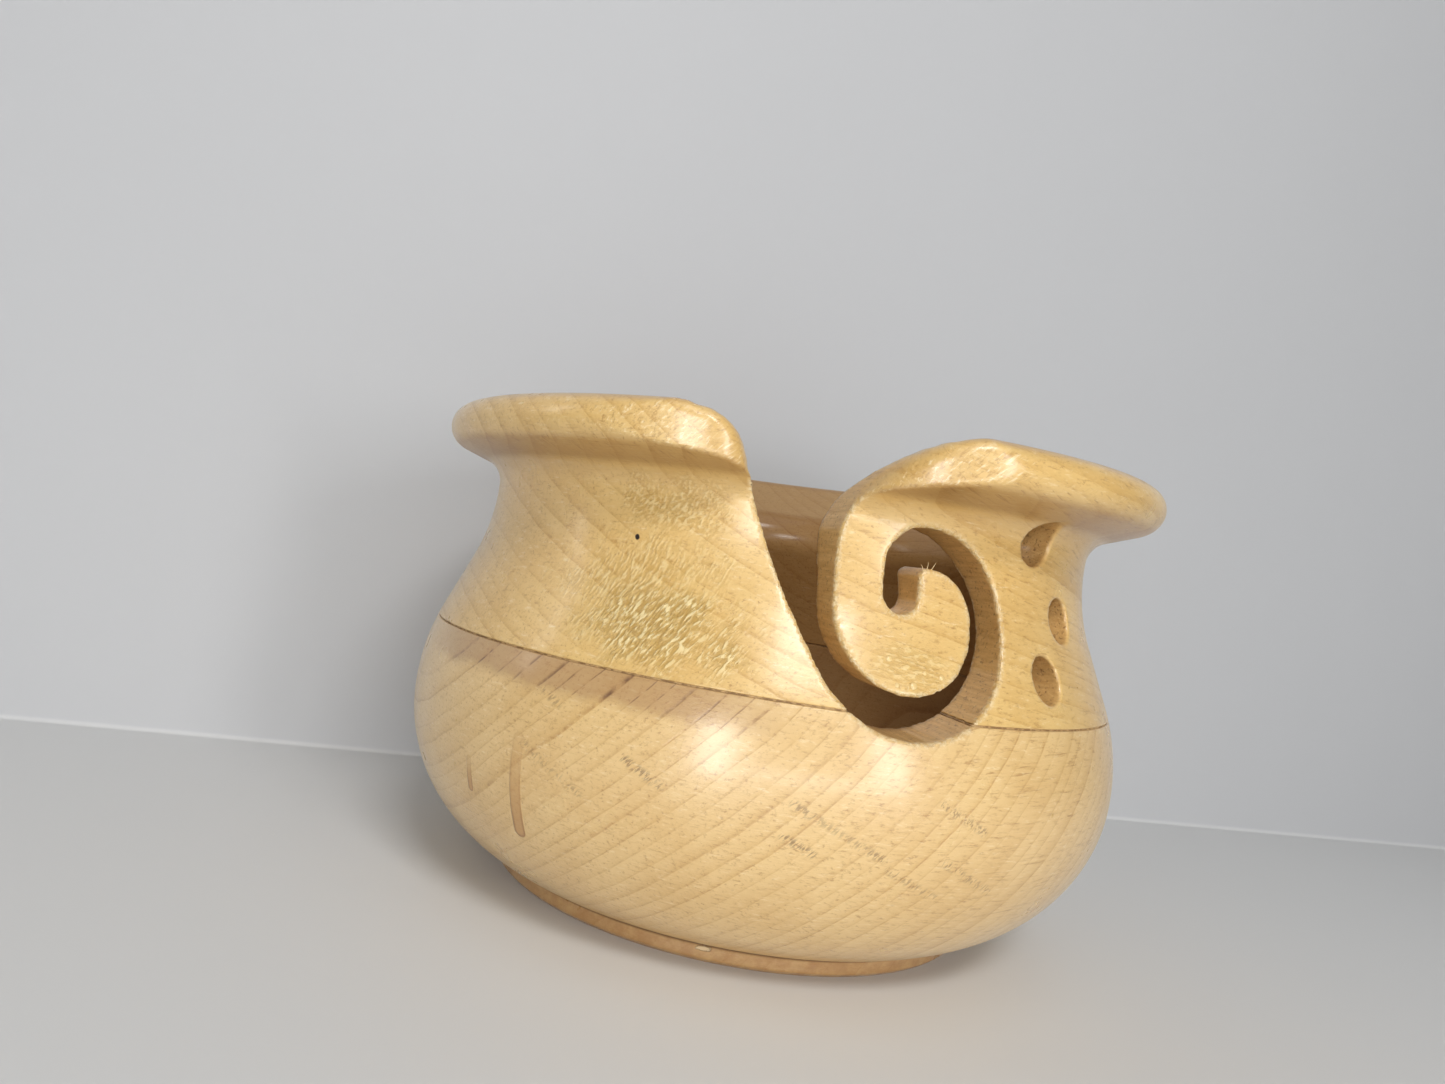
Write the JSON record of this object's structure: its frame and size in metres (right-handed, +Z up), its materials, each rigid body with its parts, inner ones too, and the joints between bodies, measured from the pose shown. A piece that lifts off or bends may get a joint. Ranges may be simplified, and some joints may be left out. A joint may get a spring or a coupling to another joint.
{
  "type": "yarn bowl",
  "caption": "Turned wooden bowl with a flared lip, a spiral yarn slot sawn into its front wall and round holes beside it, glued up from two wood blanks.",
  "frame": {"origin": "centre of the foot's flat underside, on the surface the bowl stands on", "axes": "+Z up along the turning axis; the spiral yarn slot is sawn through the front wall along -Y; +X is to the right seen from the front"},
  "size_m": [0.152, 0.152, 0.098],
  "materials": {
    "lower_wood": "satin clear lacquer over pale straight-grained hardwood",
    "upper_wood": "satin clear lacquer over pale straight-grained hardwood",
    "glue_line": "set brown wood glue"
  },
  "bodies": {
    "root": {"lower_bowl": "lower_wood", "glue_film": "glue_line", "upper_ring": "upper_wood"}
  },
  "joints": []
}
